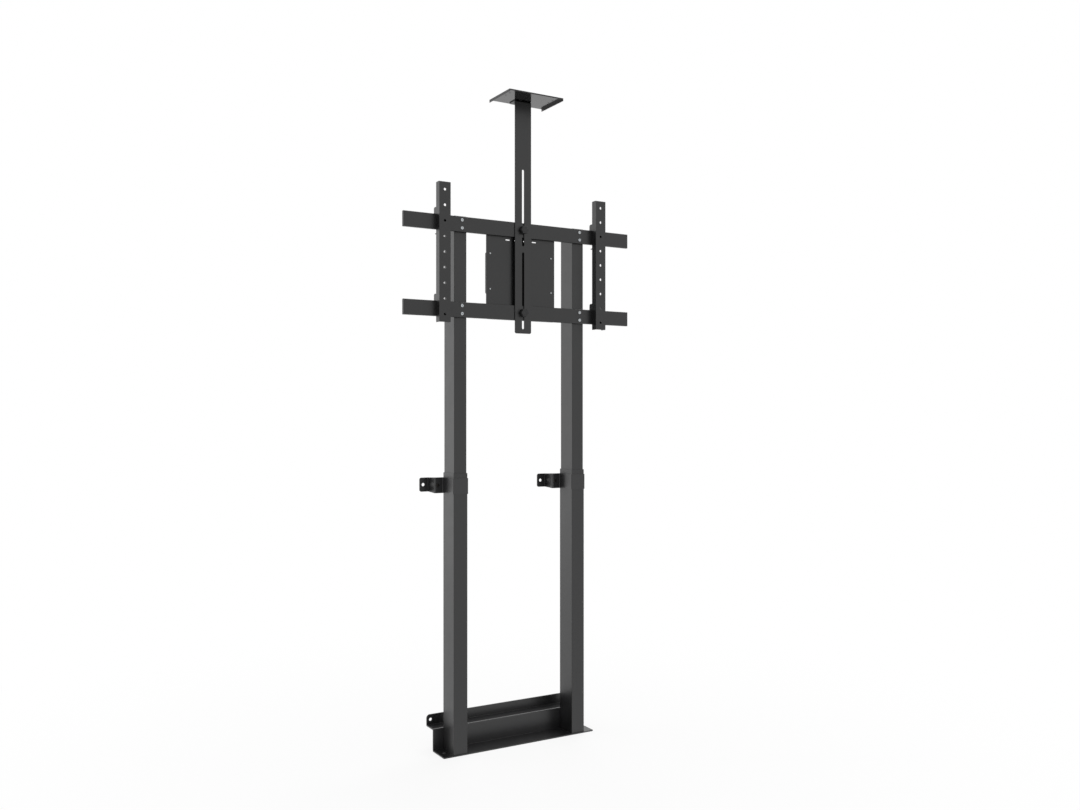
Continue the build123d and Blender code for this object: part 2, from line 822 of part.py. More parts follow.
def carrier_plate():
    """Plate behind the bars, with slots for cable ties."""
    limits = (centred(0, carrier_width), (lower_bar_bottom, inner_top))
    plate = panel(*limits, carrier_corner, bar_back, carrier_back)
    for point in carrier_screw_points() + box_screw_points():
        start = (point[0], bar_back - cut_over, point[2])
        plate -= rod(start, (point[0], carrier_back + cut_over, point[2]), carrier_screw_r)
    first = -(tie_slot_count - 1) / 2 * tie_slot_step
    level = upper_bar_bottom - tie_slot_in
    for index in range(tie_slot_count):
        place = centred(first + index * tie_slot_step, tie_slot_length)
        plate -= block(place, (bar_back - cut_over, carrier_back + cut_over), centred(level, tie_slot_width))
    return plate


def carrier_screw(point):
    """Screw from behind, through the carrier plate into a bar or through a box's ear into the plate."""
    way = (0, -1, 0)
    return socket_screw(point, way, carrier_head, carrier_head_r, carrier_screw_length, carrier_screw_r)


def box_screw_points():
    """Places of the screws in the control box's ears."""
    half = box_width / 2 + box_ear / 2
    levels = (box_bottom + box_ear_height / 2, box_top - box_ear_height / 2)
    return [(side * half, carrier_back + box_ear_sheet, level) for side in (-1, 1) for level in levels]


def lid_screw_points():
    """Places of the lid's screws, over the posts in the corners."""
    half = box_width / 2 - box_post_in
    levels = (box_bottom + box_post_in, box_top - box_post_in)
    return [(side * half, box_back, level) for side in (-1, 1) for level in levels]


def board_limits():
    """Limits of the circuit board in X and Z."""
    width = box_width - 2 * (box_wall + board_margin + box_post_in)
    bottom = box_bottom + box_wall + switch_body + board_margin + bezel_well
    return centred(0, width), (bottom, box_top - box_wall - board_margin)


def board_post_points():
    """Places of the posts that carry the circuit board."""
    across, level = board_limits()
    inset = 2 * board_post_r
    places = (across[0] + inset, across[1] - inset)
    return [(px, pz) for px in places for pz in (level[0] + inset, level[1] - inset)]


def control_box_base():
    """Open shell of the control box, with ears, posts and openings for the sockets and buttons."""
    shell_back = box_back - lid_sheet
    limits = (centred(0, box_width), (box_bottom, box_top))
    shell = panel(*limits, box_corner, carrier_back, shell_back)
    inner = (centred(0, box_width - 2 * box_wall), (box_bottom + box_wall, box_top - box_wall))
    shell -= panel(*inner, box_corner - box_wall, carrier_back + box_wall, shell_back + cut_over)
    ear_sheet = (carrier_back, carrier_back + box_ear_sheet)
    for point in box_screw_points():
        side = math.copysign(1, point[0])
        ear_x = sorted((side * (box_width / 2 - box_wall / 2), side * (box_width / 2 + box_ear)))
        ear = panel(ear_x, centred(point[2], box_ear_height), box_ear_corner, *ear_sheet)
        ear -= block(inner[0], (carrier_back, box_back), inner[1])
        start = (point[0], carrier_back - cut_over, point[2])
        shell += ear
        shell -= rod(start, (point[0], carrier_back + box_ear_sheet + cut_over, point[2]), carrier_screw_r)
    for point in lid_screw_points():
        foot = (point[0], carrier_back + box_wall, point[2])
        shell += rod(foot, (point[0], shell_back, point[2]), box_post_r)
        tip = shell_back - lid_screw_length + lid_sheet
        shell -= rod((point[0], tip, point[2]), (point[0], shell_back + cut_over, point[2]), lid_screw_r)
    for across, level in board_post_points():
        start = (across, carrier_back + box_wall / 2, level)
        shell += rod(start, (across, carrier_back + board_level, level), board_post_r)
    floor = (box_bottom - cut_over, box_bottom + box_wall + cut_over / 2)
    inlet_y = inlet_depth + 2 * inlet_shell
    shell -= block(centred(inlet_place, inlet_body), centred(socket_line, inlet_y), floor)
    ports_y = port_depth + 2 * port_shell
    shell -= block(centred(0, ports_body), centred(socket_line, ports_y), floor)
    bezel_y = rocker_depth + 2 * (body_gap + bezel_wall)
    shell -= block(centred(rocker_place, bezel_body), centred(socket_line, bezel_y), floor)
    for place in (up_place, down_place):
        shell -= rod((place, socket_line, floor[0]), (place, socket_line, floor[1]), button_r + body_gap)
    return shell


def control_box_lid():
    """Rear lid of the control box, with two rows of vents and a lip inside the shell."""
    shell_back = box_back - lid_sheet
    limits = (centred(0, box_width), (box_bottom, box_top))
    lid = panel(*limits, box_corner, shell_back, box_back)
    inset = box_wall + lid_slack
    across = centred(0, box_width - 2 * inset)
    level = (box_bottom + inset, box_top - inset)
    lip = panel(across, level, box_corner - box_wall, shell_back - lid_lip, shell_back)
    lip -= panel(
        centred(0, box_width - 2 * (inset + box_wall)),
        (level[0] + box_wall, level[1] - box_wall),
        box_corner - box_wall,
        shell_back - lid_lip - cut_over,
        shell_back,
    )
    for point in lid_screw_points():
        start = (point[0], shell_back - cut_over, point[2])
        lip -= rod(start, (point[0], shell_back, point[2]), box_post_r + lid_slack)
    lid += lip
    for point in lid_screw_points():
        start = (point[0], shell_back - cut_over, point[2])
        lid -= rod(start, (point[0], box_back + cut_over, point[2]), lid_screw_r)
    middle = (box_bottom + box_top) / 2
    offset = (vent_length + vent_row_gap) / 2
    first = -(vent_count - 1) / 2 * vent_step
    for index in range(vent_count):
        for row in (-1, 1):
            place = centred(first + index * vent_step, vent_width)
            height = centred(middle + row * offset, vent_length)
            rounding = vent_width * vent_round_share
            lid -= panel(place, height, rounding, shell_back - cut_over, box_back + cut_over)
    return lid


def lid_screw(point):
    """Small screw of the lid."""
    seat = Vector(*point)
    head = rod(seat + Vector(0, lid_head, 0), seat, lid_head_r)
    rim = head.edges().filter_by(GeomType.CIRCLE).sort_by(Axis.Y)[-1]
    head = fillet(rim, lid_head / 2)
    return head + rod(seat, seat - Vector(0, lid_screw_length, 0), lid_screw_r)


def circuit_board():
    """Circuit board with its relays and capacitors, on the shell's posts."""
    across, level = board_limits()
    height = level[1] - level[0]
    relay = height * relay_share
    capacitor_r = height * capacitor_share
    front = carrier_back + board_level
    top = front + board_sheet
    board = block(across, (front, top), level)
    row = level[0] + relay
    step = 2 * relay * capacitor_step_share
    for index in range(relay_count):
        place = centred(across[0] + 2 * relay + index * step, relay)
        board += block(place, (top, top + relay_height), centred(row, relay))
        place = across[1] - 2 * relay - index * step
        board += rod((place, top, row), (place, top + capacitor_height, row), capacitor_r)
    return board


def power_supply():
    """Encapsulated power supply on the circuit board."""
    across, level = board_limits()
    front = carrier_back + board_level + board_sheet
    top = level[1] - board_margin
    height = (top - (level[1] - level[0]) * supply_height_share, top)
    brick = block(centred(0, supply_width), (front, front + supply_depth), height)
    return fillet(brick.edges().group_by(Axis.Y)[-1], supply_edge)


def mains_inlet():
    """Mains inlet: a flange under the box and a body with the recess for the plug."""
    depth = inlet_depth + 2 * inlet_shell
    flange = (inlet_span, depth + 2 * inlet_rim)
    middle = (inlet_place, socket_line)
    roof = box_bottom - inlet_flange + inlet_recess
    inlet = upright(middle, *flange, inlet_corner, box_bottom - inlet_flange, box_bottom)
    height = (box_bottom, roof + inlet_floor)
    inlet += block(centred(inlet_place, inlet_body), centred(socket_line, depth), height)
    recess = (inlet_width, inlet_depth, inlet_corner)
    return inlet - upright(middle, *recess, box_bottom - inlet_flange - cut_over, roof)


def inlet_pins():
    """Three contact blades that stand from the inlet's roof."""
    roof = box_bottom - inlet_flange + inlet_recess
    pins = []
    for across, offset in ((-pin_spread, pin_offset), (0, -pin_offset), (pin_spread, pin_offset)):
        place = centred(inlet_place + across, pin_width)
        depth = centred(socket_line + offset, pin_depth)
        pins.append(block(place, depth, (roof - pin_length, roof)))
    return pins


def motor_ports():
    """Block with two sockets for the motors' plugs."""
    depth = port_depth + 2 * port_shell
    roof = box_bottom - port_flange + port_recess
    flange = (centred(0, ports_span), centred(socket_line, depth + 2 * port_shell))
    ports = block(*flange, (box_bottom - port_flange, box_bottom))
    ports += block(centred(0, ports_body), centred(socket_line, depth), (box_bottom, roof + port_floor))
    for side in (-1, 1):
        place = side * port_spacing / 2
        opening = (centred(place, port_width), centred(socket_line, port_depth))
        ports -= block(*opening, (box_bottom - port_flange - cut_over, roof))
    return ports


def rocker_pivot():
    """Height of the rocker's pivot."""
    return box_bottom + rocker_pivot_rise


def switch_bezel():
    """Frame of the power switch, with a well and two pin holes for the rocker."""
    well = rocker_depth + 2 * body_gap
    body = well + 2 * bezel_wall
    middle = (rocker_place, socket_line)
    top = box_bottom + bezel_well
    rim_y = body + 2 * bezel_rim
    frame = upright(middle, bezel_span, rim_y, inlet_corner, box_bottom - bezel_sheet, box_bottom)
    frame += block(centred(rocker_place, bezel_body), centred(socket_line, body), (box_bottom, top))
    hollow = (centred(rocker_place, rocker_well), centred(socket_line, well))
    frame -= block(*hollow, (box_bottom - bezel_sheet - cut_over, top - bezel_wall))
    depth = centred(socket_line, body + cut_over)
    pivot = rocker_pivot()
    hole = rod((rocker_place, depth[0], pivot), (rocker_place, depth[1], pivot), rocker_pin_r + shaft_gap)
    return frame - hole


def power_rocker():
    """Rocker of the power switch, tipped to one side, with its pivot pins."""
    pivot = rocker_pivot()
    low = pivot - box_bottom + bezel_sheet
    half = rocker_width / 2
    outline = [
        (-half, -low - rocker_edge_drop + rocker_middle_drop),
        (0, -low + rocker_middle_drop),
        (half, -low - rocker_edge_drop + rocker_middle_drop),
        (half / 2, rocker_height / 2),
        (-half / 2, rocker_height / 2),
    ]
    section = make_face(Polyline(*outline, close=True))
    front = socket_line + rocker_depth / 2
    place = Plane((rocker_place, front, pivot), x_dir=(1, 0, 0), z_dir=(0, -1, 0))
    tipped = place * (Rot(0, 0, rocker_tilt) * extrude(section, rocker_depth))
    reach = rocker_depth / 2 + rocker_pin_length
    start = (rocker_place, socket_line - reach, pivot)
    return tipped + rod(start, (rocker_place, socket_line + reach, pivot), rocker_pin_r)


def push_button(place):
    """Round button with a flange inside the box and a stem up to its switch."""
    floor = box_bottom + box_wall + body_gap
    cap = rod((place, socket_line, box_bottom - button_proud), (place, socket_line, floor), button_r)
    cap = fillet(cap.edges().group_by(Axis.Z)[0], button_edge)
    top = floor + button_flange
    cap += rod((place, socket_line, floor), (place, socket_line, top), button_flange_r)
    return cap + rod((place, socket_line, top), (place, socket_line, top + button_travel), button_stem_r)


def button_switches():
    """Two small switches over the buttons, on a strip that ends in the shell's side wall."""
    bottom = box_bottom + box_wall + 2 * body_gap + button_flange + 2 * button_travel
    top = bottom + switch_height
    depth = centred(socket_line, switch_body)
    across = (up_place - switch_body / 2, box_width / 2 - box_wall)
    solid = block(across, depth, (top, top + board_sheet))
    for place in (up_place, down_place):
        solid += block(centred(place, switch_body), depth, (bottom, top))
    return solid


def shelf_upright():
    """Strip that carries the tray: two long slots for the knobs and a foot folded back on top."""
    slot_span = shelf_drop + shelf_rise + 2 * slot_r
    bottom = lower_bar_middle - shelf_rise - slot_r - strip_end
    line = [
        (strip_back, bottom),
        (strip_back, shelf_underside - strip_sheet),
        (strip_back + strip_foot, shelf_underside - strip_sheet),
    ]
    strip = side_section(folded(line, strip_sheet, strip_bend), centred(0, strip_width))
    strip = fillet(strip.edges().filter_by(Axis.Y).group_by(Axis.Z)[0], strip_corner)
    back = strip.edges().filter_by(Axis.Z).group_by(Axis.Y)[-1]
    strip = fillet(back, strip_corner)
    for middle in (lower_bar_middle, upper_bar_middle):
        low = middle - shelf_rise - slot_r
        outline = SlotOverall(slot_span, 2 * slot_r, rotation=90)
        place = Plane((0, strip_back + cut_over, low + slot_span / 2), x_dir=(1, 0, 0), z_dir=(0, -1, 0))
        strip -= place * extrude(outline, strip_sheet + 2 * cut_over)
    for point in shelf_screw_points():
        strip -= rod(
            (point[0], point[1], shelf_underside - strip_sheet - cut_over),
            (point[0], point[1], shelf_underside + cut_over),
            shelf_screw_r + bolt_clearance,
        )
    return strip


def shelf_screw_points():
    """Places of the two screws that hold the tray on its strip."""
    depth = strip_back + strip_foot / 2
    crown = shelf_underside + tray_sheet - shelf_head_sunk
    return [(side * shelf_screw_spread / 2, depth, crown) for side in (-1, 1)]


def shelf_tray():
    """Thin tray with lips turned down at its front and sides, and small holes."""
    top = shelf_underside + tray_sheet
    across = centred(0, tray_width)
    depth = (-tray_front, -tray_front + tray_depth)
    tray = block(across, depth, (top - tray_side_lip, top))
    tray = fillet(tray.edges().group_by(Axis.Z)[-1], tray_edge)
    inside = centred(0, tray_width - 2 * tray_sheet)
    below = (top - tray_side_lip - cut_over, shelf_underside)
    tray -= block(inside, (depth[0] + tray_sheet, depth[1] + cut_over), below)
    tray -= block(inside, (depth[0] - cut_over, depth[0] + tray_sheet), (below[0], top - tray_front_lip))
    for side in (-1, 1):
        for row in (0, 1):
            place = (side * tray_hole_spread / 2, depth[0] + tray_hole_front + row * tray_hole_step)
            tray -= rod((*place, shelf_underside - cut_over), (*place, top + cut_over), tray_hole_r)
    for point in shelf_screw_points():
        crown = Vector(*point)
        length = tray_sheet + cut_over
        tray -= countersunk(crown, (0, 0, -1), shelf_head_r, shelf_head_rim, shelf_screw_r, length)
        tray -= rod(crown, crown + Vector(0, 0, cut_over), shelf_head_r)
    return tray


def shelf_screw(point):
    """Screw through the tray and the strip's foot, its flat head just under the tray's face."""
    length = tray_sheet - shelf_head_sunk + strip_sheet + shelf_nut + shelf_screw_spare
    crown = Vector(*point)
    down = Vector(0, 0, -1)
    screw = countersunk(crown, down, shelf_head_r, shelf_head_rim, shelf_screw_r, length)
    return screw - hexagon(crown, crown + down * shelf_socket_depth, shelf_socket_r)


def shelf_nut_solid(point):
    """Nut under the strip's foot."""
    top = shelf_underside - strip_sheet
    nut = hexagon((point[0], point[1], top - shelf_nut), (point[0], point[1], top), shelf_nut_r)
    bottom = (point[0], point[1], top - shelf_nut - cut_over)
    return nut - rod(bottom, (point[0], point[1], top + cut_over), shelf_screw_r)


def shelf_knob(level):
    """Lobed knob whose stud passes the strip's slot and screws into a bar."""
    face = strip_front - body_gap
    grip = face - knob_face
    outline = Circle(knob_r)
    outline -= PolarLocations(knob_r + knob_grip_out, knob_lobes) * Circle(knob_grip_r)
    place = Plane((0, grip, level), x_dir=(1, 0, 0), z_dir=(0, -1, 0))
    knob = place * extrude(outline, knob_height)
    knob = fillet(knob.faces().sort_by(Axis.Y)[0].edges(), knob_edge)
    knob += rod((0, face, level), (0, grip, level), knob_face_r)
    return knob + rod((0, bar_middle, level), (0, face, level), knob_stud_r)


def save(name, solids):
    """Writes one node, made of one solid or of a group of separate ones."""
    shapes = solids if isinstance(solids, list) else [solids]
    parts = [solid for shape in shapes for solid in shape.solids()]
    whole = parts[0] if len(parts) == 1 else Compound(children=parts)
    export_step(whole, f"parts/{name}.step")


os.makedirs("parts", exist_ok=True)
columns = {"left": -half_spacing, "right": half_spacing}
column_pieces = {
    "outer_tube": outer_tube,
    "guide_collar": collar,
    "push_tube": push_tube,
    "lift_nut": lift_nut,
    "clamp_band": clamp_band,
    "wall_bracket": wall_bracket,
    "inner_tube": inner_tube,
    "lower_glide": lower_glide,
    "lift_spindle": spindle,
    "gearbox": gearbox,
    "tube_motor": motor,
}
for side, x in columns.items():
    for piece, make in column_pieces.items():
        save(f"{piece}_{side}", make(x))
    rail_x = math.copysign(grid_width / 2, x)
    save(f"display_rail_{side}", display_rail(rail_x))
    save(f"rail_lock_{side}", rail_lock(rail_x))

save("base_bracket", base_bracket())
save("foot_blocks", [foot_block(x) for x in columns.values()])
save("tube_caps", [tube_cap(x) for x in columns.values()])
save("spindle_bearings", [spindle_bearing(x) for x in columns.values()])
foot_reaches = (-foot_screw_reach, foot_screw_reach)
save("foot_screws", [foot_screw(x, y) for x in columns.values() for y in foot_reaches])
web_levels = (web_bolt_low, web_bolt_high)
save("web_bolts", [web_bolt(x, level) for x in columns.values() for level in web_levels])
save("clamp_bolts", [clamp_bolt(x) for x in columns.values()])
save("clamp_nuts", [clamp_nut_solid(x) for x in columns.values()])
save("lower_bar", cross_bar(lower_bar_bottom))
save("upper_bar", cross_bar(upper_bar_bottom))
bar_bottoms = (lower_bar_bottom, upper_bar_bottom)
save("bar_caps", [bar_cap_solid(side, bottom) for side in (-1, 1) for bottom in bar_bottoms])
bar_bolts = [
    socket_screw(point, (0, 1, 0), bar_head, bar_head_r, bar_bolt_length, bar_bolt_r)
    for x in columns.values()
    for point in bar_bolt_points(x)
]
save("bar_bolts", bar_bolts)
save("carrier_plate", carrier_plate())
save("carrier_screws", [carrier_screw(point) for point in carrier_screw_points() + box_screw_points()])
save("control_box_shell", control_box_base())
save("control_box_lid", control_box_lid())
save("lid_screws", [lid_screw(point) for point in lid_screw_points()])
save("circuit_board", circuit_board())
save("power_supply", power_supply())
save("mains_inlet", mains_inlet())
save("inlet_pins", inlet_pins())
save("motor_ports", motor_ports())
save("switch_bezel", switch_bezel())
save("power_rocker", power_rocker())
save("up_button", push_button(up_place))
save("down_button", push_button(down_place))
save("button_switches", button_switches())
save("shelf_upright", shelf_upright())
save("shelf_tray", shelf_tray())
save("shelf_screws", [shelf_screw(point) for point in shelf_screw_points()])
save("shelf_nuts", [shelf_nut_solid(point) for point in shelf_screw_points()])
save("shelf_knob_lower", shelf_knob(lower_bar_middle))
save("shelf_knob_upper", shelf_knob(upper_bar_middle))
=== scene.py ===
import json
import math

import bpy
import numpy as np
from bpy.props import FloatProperty, FloatVectorProperty, IntProperty, PointerProperty
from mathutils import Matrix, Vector


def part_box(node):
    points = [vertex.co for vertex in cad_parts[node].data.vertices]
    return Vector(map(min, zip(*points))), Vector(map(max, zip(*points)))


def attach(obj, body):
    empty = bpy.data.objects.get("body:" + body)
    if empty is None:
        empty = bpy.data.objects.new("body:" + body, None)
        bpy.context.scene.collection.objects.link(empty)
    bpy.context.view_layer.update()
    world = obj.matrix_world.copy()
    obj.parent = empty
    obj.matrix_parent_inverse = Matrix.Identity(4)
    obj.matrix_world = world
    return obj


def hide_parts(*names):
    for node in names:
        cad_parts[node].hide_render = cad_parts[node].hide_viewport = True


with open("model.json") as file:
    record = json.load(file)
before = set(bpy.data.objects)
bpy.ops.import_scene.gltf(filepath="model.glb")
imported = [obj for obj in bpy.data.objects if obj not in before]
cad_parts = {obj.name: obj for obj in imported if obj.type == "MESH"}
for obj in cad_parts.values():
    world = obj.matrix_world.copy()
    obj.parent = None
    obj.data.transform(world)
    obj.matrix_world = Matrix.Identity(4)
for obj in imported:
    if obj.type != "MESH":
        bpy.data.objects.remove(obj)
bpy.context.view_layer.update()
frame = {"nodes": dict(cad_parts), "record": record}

bl_info = {
    "name": "TV lift mechanism",
    "version": (1, 0, 0),
    "blender": (4, 5, 0),
    "location": "3D View > Sidebar > Lift",
    "description": "Finishes, threads, knobs and marks of a two-column lift",
    "category": "Object",
}

TURN = 2 * math.pi
SIDES = ("left", "right")
ENDS = ("lower", "upper")
CREASE = math.radians(35)  # sharper edges than this are drawn sharp
MIX_A, MIX_B, MIX_RESULT = 6, 7, 2  # the colour sockets of a Mix node
WHITE = (1, 1, 1, 1)


def sizes():
    """The user's sizes and colours."""
    return bpy.context.scene.lift_sizes


# ---------------------------------------------------------------- colours and nodes


def linear(hex_colour):
    """Turns an sRGB hex value into linear red, green and blue."""
    coded = np.array([int(hex_colour[i:i + 2], 16) / 255 for i in (1, 3, 5)])
    return tuple(np.where(coded <= 0.04045, coded / 12.92, ((coded + 0.055) / 1.055) ** 2.4))


def add(tree, kind, links=None, **settings):
    """Adds a node with settings of its own.

    Links give an input, by its name or number, a value or another node's output.
    """
    made = tree.nodes.new(kind)
    for name, value in settings.items():
        setattr(made, name, value)
    for socket, value in (links or {}).items():
        if isinstance(value, bpy.types.NodeSocket):
            tree.links.new(value, made.inputs[socket])
        else:
            made.inputs[socket].default_value = value
    return made


def per_mm(size):
    """Scale of a pattern on Object coordinates, in metres, that repeats every so many mm."""
    return 1000 / size


def blank(name, colour, roughness, **sockets):
    """A material with one Principled shader.

    Returns the material, its tree, the shader and the Object coordinates.
    """
    material = bpy.data.materials.new(name)
    material.use_nodes = True
    tree = material.node_tree
    tree.nodes.clear()
    shader = add(tree, "ShaderNodeBsdfPrincipled", {
        "Base Color": (*colour, 1), "Roughness": roughness, **sockets})
    add(tree, "ShaderNodeOutputMaterial", {"Surface": shader.outputs["BSDF"]})
    place = add(tree, "ShaderNodeTexCoord").outputs["Object"]
    return material, tree, shader, place


def join(tree, shader, socket, source):
    """Leads an output into one of the shader's inputs."""
    tree.links.new(source, shader.inputs[socket])


def noise(tree, place, size_mm, detail):
    """A noise from 0 to 1 whose large forms are so many millimetres wide."""
    made = add(tree, "ShaderNodeTexNoise", {
        "Vector": place, "Scale": per_mm(size_mm), "Detail": detail})
    return made.outputs["Fac"]


def larger(tree, one, other):
    """The larger of two values."""
    return add(tree, "ShaderNodeMath", {0: one, 1: other}, operation="MAXIMUM").outputs[0]


def shaded(tree, shader, factor, first, second):
    """Colours the shader between two linear colours by a factor from 0 to 1."""
    shade = add(tree, "ShaderNodeMix", {
        "Factor": factor, MIX_A: (*first, 1), MIX_B: (*second, 1)}, data_type="RGBA")
    join(tree, shader, "Base Color", shade.outputs[MIX_RESULT])


def glossed(tree, shader, factor, first, second, start=0.0, stop=1.0):
    """Moves the shader's roughness between two values while a factor goes from start to stop."""
    gloss = add(tree, "ShaderNodeMapRange", {
        "Value": factor, "From Min": start, "From Max": stop, "To Min": first, "To Max": second})
    join(tree, shader, "Roughness", gloss.outputs["Result"])


def uneven(tree, shader, place, colour, roughness, cloud_mm, tint, spread):
    """Soft clouds that change the colour by a share and the roughness by an amount, either way."""
    cloud = noise(tree, place, cloud_mm, detail=4.0)
    dark = [c * (1 - tint) for c in colour]
    pale = [c * (1 + tint) for c in colour]
    shaded(tree, shader, cloud, dark, pale)
    glossed(tree, shader, cloud, roughness - spread, roughness + spread, start=0.3, stop=0.7)


def grained(tree, shader, height, depth_mm):
    """Turns a height between 0 and 1 into a relief of so many millimetres."""
    relief = add(tree, "ShaderNodeBump", {
        "Height": height, "Distance": depth_mm / 1000, "Strength": 1.0})
    join(tree, shader, "Normal", relief.outputs["Normal"])


# ---------------------------------------------------------------- materials


def powder_coat(name, colour, roughness, peel_mm, depth_mm):
    """Polyester powder coat, sprayed and baked: a satin skin, faint orange peel, slight clouds."""
    material, tree, shader, place = blank(name, colour, roughness, IOR=1.6)
    uneven(tree, shader, place, colour, roughness, cloud_mm=38.0, tint=0.08, spread=0.02)
    grained(tree, shader, noise(tree, place, peel_mm, detail=2.0), depth_mm)
    return material


def column_coat():
    """Satin black powder coat on the column tubes: it looks grey by its reflections.

    The real peel repeats every 0.8 mm; it is drawn at 1.6 mm so that it shows close by.
    """
    return powder_coat("satin_black_powder_coat", sizes().column_colour,
                       roughness=0.35, peel_mm=1.6, depth_mm=0.01)


def sheet_coat():
    """The coat of the folded base and the clamp bands: a little glossier and a touch greyer."""
    return powder_coat("satin_charcoal_powder_coat", sizes().base_colour,
                       roughness=0.31, peel_mm=1.6, depth_mm=0.01)


def bracket_coat():
    """The coat of brackets, bars and rails: blacker, with a finer and deeper peel."""
    return powder_coat("fine_textured_black_powder_coat", sizes().bracket_colour,
                       roughness=0.36, peel_mm=1.1, depth_mm=0.014)


def tray_lacquer():
    """Gloss black stoved lacquer of the camera tray: deep, almost a mirror, softly wavy."""
    colour, roughness = linear("#111112"), 0.14
    material, tree, shader, place = blank(
        "gloss_black_stoved_lacquer", colour, roughness, IOR=1.52)
    uneven(tree, shader, place, colour, roughness, cloud_mm=60.0, tint=0.08, spread=0.015)
    grained(tree, shader, noise(tree, place, 9.0, detail=1.0), depth_mm=0.012)
    return material


def zinc_plate():
    """Bright zinc-plated steel, passivated: metal with small crystal patches and a cool tint."""
    material, tree, shader, place = blank(
        "bright_zinc_plated_steel", linear("#b4b8bb"), 0.34, Metallic=1.0)
    crystal = add(tree, "ShaderNodeTexVoronoi", {
        "Vector": place, "Scale": per_mm(3.0), "Randomness": 1.0})
    value = add(tree, "ShaderNodeSeparateColor", {"Color": crystal.outputs["Color"]}).outputs[0]
    shaded(tree, shader, value, linear("#a3a8ac"), linear("#c6c9ca"))
    glossed(tree, shader, value, 0.27, 0.42)
    grained(tree, shader, noise(tree, place, 0.9, detail=3.0), depth_mm=0.02)
    return material


def rolled_steel():
    """Bright rolled steel of spindles and bearings: fine rings from rolling, a film of grease."""
    material, tree, shader, place = blank(
        "rolled_bright_steel", linear("#a9aaab"), 0.24, Metallic=1.0, **{"Coat Weight": 0.15})
    rings = add(tree, "ShaderNodeTexWave", {
        "Vector": place, "Scale": per_mm(1.2) / TURN, "Distortion": 1.5, "Detail": 2.0},
        wave_type="BANDS", bands_direction="Z").outputs["Fac"]
    glossed(tree, shader, rings, 0.18, 0.34)
    shaded(tree, shader, rings, linear("#98999a"), linear("#b8b9b9"))
    grained(tree, shader, rings, depth_mm=0.01)
    return material


def black_oxide():
    """Black-oxidised alloy screw: dark, oily metal, browner where the oxide is thin."""
    material, tree, shader, place = blank(
        "black_oxide_steel", linear("#2a2a2c"), 0.38, Metallic=0.9)
    thin = noise(tree, place, 2.2, detail=5.0)
    shaded(tree, shader, thin, linear("#202022"), linear("#38342f"))
    grained(tree, shader, thin, depth_mm=0.015)
    return material


def die_cast():
    """Die-cast aluminium, shot-blasted: pale metal with a sandy skin."""
    colour, roughness = linear("#9c9d9f"), 0.5
    material, tree, shader, place = blank(
        "shot_blasted_die_cast_aluminium", colour, roughness, Metallic=0.95)
    uneven(tree, shader, place, colour, roughness, cloud_mm=16.0, tint=0.08, spread=0.05)
    grained(tree, shader, noise(tree, place, 0.9, detail=4.0), depth_mm=0.08)
    return material


def contact_brass():
    """Nickel-flashed brass contacts: smooth warm metal, clouded where the flash is thin."""
    colour, roughness = linear("#c9a766"), 0.26
    material, tree, shader, place = blank("nickel_flashed_brass", colour, roughness, Metallic=1.0)
    uneven(tree, shader, place, colour, roughness, cloud_mm=3.0, tint=0.1, spread=0.06)
    return material


def moulded(name, hex_colour, roughness, grain_mm, depth_mm, **sockets):
    """Injection-moulded plastic: the rounded grain of its tool, and faint clouds."""
    colour = linear(hex_colour)
    material, tree, shader, place = blank(name, colour, roughness, **{"IOR": 1.49, **sockets})
    uneven(tree, shader, place, colour, roughness, cloud_mm=22.0, tint=0.06, spread=0.03)
    cells = add(tree, "ShaderNodeTexVoronoi", {
        "Vector": place, "Scale": per_mm(grain_mm)}, feature="SMOOTH_F1")
    grained(tree, shader, cells.outputs["Distance"], depth_mm)
    return material


def black_abs():
    """Black ABS of control box, caps and knobs: matt, from a spark-eroded tool.

    The real grain is 0.4 mm wide; it is drawn at 1.1 mm so that it shows.
    """
    return moulded("spark_eroded_black_abs", "#1c1c1d",
                   roughness=0.46, grain_mm=1.1, depth_mm=0.05)


def satin_abs():
    """Satin black ABS of the guide collars: a finer grain, so they look like the coated tubes."""
    return moulded("satin_black_abs", "#242425",
                   roughness=0.34, grain_mm=0.8, depth_mm=0.02, IOR=1.54)


def polished_abs():
    """Polished black ABS of the power rocker: the tool was polished, so it is a clean gloss."""
    return moulded("polished_black_abs", "#121213",
                   roughness=0.14, grain_mm=6.0, depth_mm=0.006)


def acetal():
    """Natural acetal of nuts and glides: waxy off-white that lets a little light in."""
    return moulded("natural_acetal", "#dcd9cf", roughness=0.38, grain_mm=2.0, depth_mm=0.02,
                   **{"Subsurface Weight": 0.15, "Subsurface Scale": 0.002})


def grey_abs():
    """Mid-grey ABS of the two push buttons: satin, with a fine grain."""
    return moulded("fine_grain_grey_abs", "#5a5b5d",
                   roughness=0.42, grain_mm=0.8, depth_mm=0.03)


def solder_mask():
    """Green solder mask on a circuit board: copper tracks 2.5 mm apart show raised and paler."""
    colour = linear("#0f4a2a")
    material, tree, shader, place = blank("green_solder_mask_laminate", colour, 0.3, IOR=1.55)
    upright = add(tree, "ShaderNodeMapping", {
        "Vector": place, "Rotation": (math.pi / 2, 0, 0)}).outputs[0]
    track = add(tree, "ShaderNodeTexBrick", {
        "Vector": upright, "Scale": per_mm(10.0), "Mortar Size": 0.05, "Mortar Smooth": 0.3,
        "Brick Width": 1.2, "Row Height": 0.25,
        "Color1": (0, 0, 0, 1), "Color2": (0.25, 0.25, 0.25, 1), "Mortar": WHITE,
    }).outputs["Color"]
    shaded(tree, shader, track, colour, linear("#2c7a4a"))
    grained(tree, shader, track, depth_mm=0.05)
    return material


